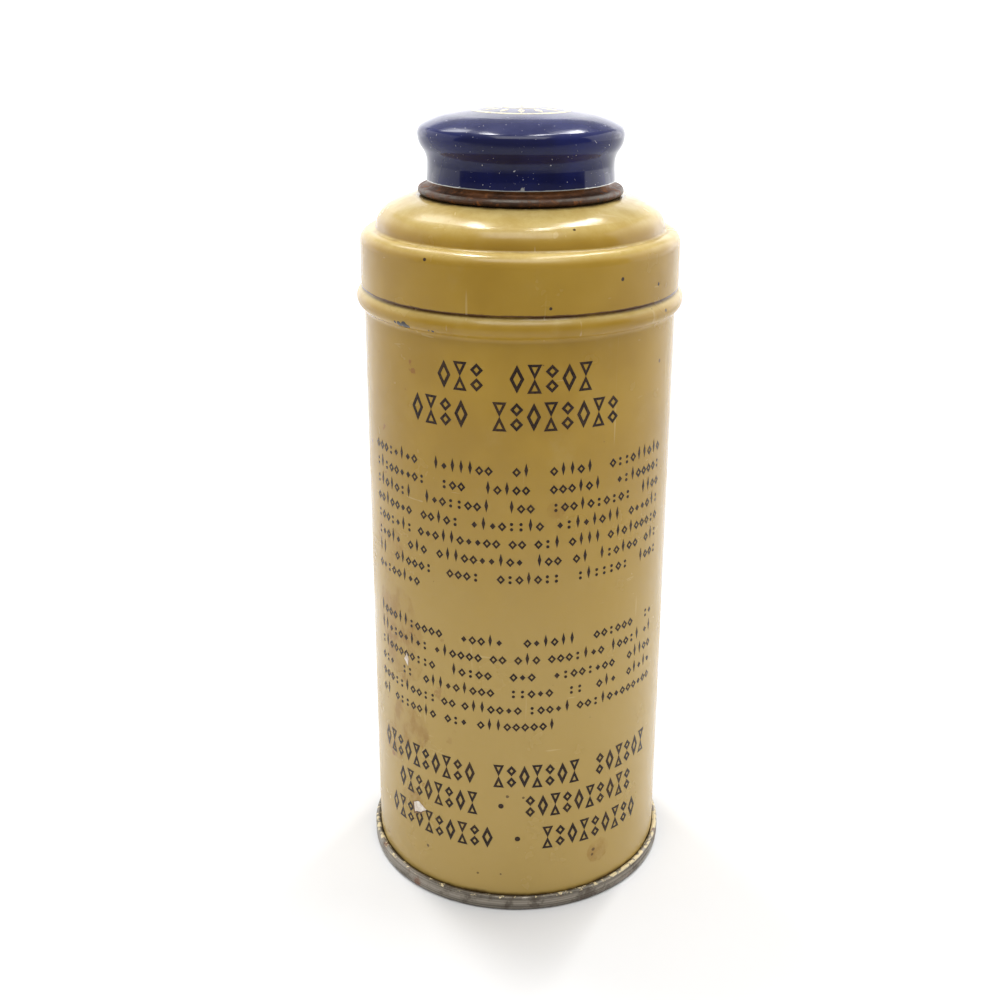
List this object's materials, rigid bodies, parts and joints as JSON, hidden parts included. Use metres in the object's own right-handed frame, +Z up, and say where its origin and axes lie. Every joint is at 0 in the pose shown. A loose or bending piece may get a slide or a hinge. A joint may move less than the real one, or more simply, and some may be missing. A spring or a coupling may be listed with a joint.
{
  "type": "powder tin",
  "caption": "Tall round tinplate powder tin with a domed slip cover, a perforated sifter neck and a waisted mushroom-shaped friction cap.",
  "frame": {"origin": "centre of the tin's base, on the plane that its bottom seam stands on", "axes": "+Z up along the tin's axis, -Y out of the printed front, the side seam at +Y, +X to the right seen from the front"},
  "size_m": [0.0544, 0.0544, 0.1345],
  "materials": {
    "tan_lacquer": "gloss",
    "tinplate": "satin",
    "rusted_tinplate": "rusted",
    "navy_enamel": "gloss",
    "waxed_board": "waxed",
    "sealing_compound": "matte",
    "dark_ink": "satin",
    "cream_ink": "satin"
  },
  "bodies": {
    "tin_body": {"body_shell": "tan_lacquer", "bottom_end": "tinplate", "seam_compound": "sealing_compound"},
    "cover": {"shoulder_cover": "tan_lacquer", "neck_ring": "rusted_tinplate", "sifter_cup": "tinplate"},
    "liner": {"cap_liner": "waxed_board"},
    "cap": {"cap_shell": "navy_enamel"}
  },
  "joints": [
    {"name": "cover_lift", "type": "slide", "parent": "tin_body", "child": "cover", "axis": [0, 0, 1], "range_m": [0, 0.02]},
    {"name": "cap_lift", "type": "slide", "parent": "cover", "child": "liner", "axis": [0, 0, 1], "range_m": [0, 0.02]},
    {"name": "cap_twist", "type": "hinge", "parent": "liner", "child": "cap", "pos_m": [0, 0, 0.1231], "axis": [0, 0, 1], "continuous": true}
  ]
}
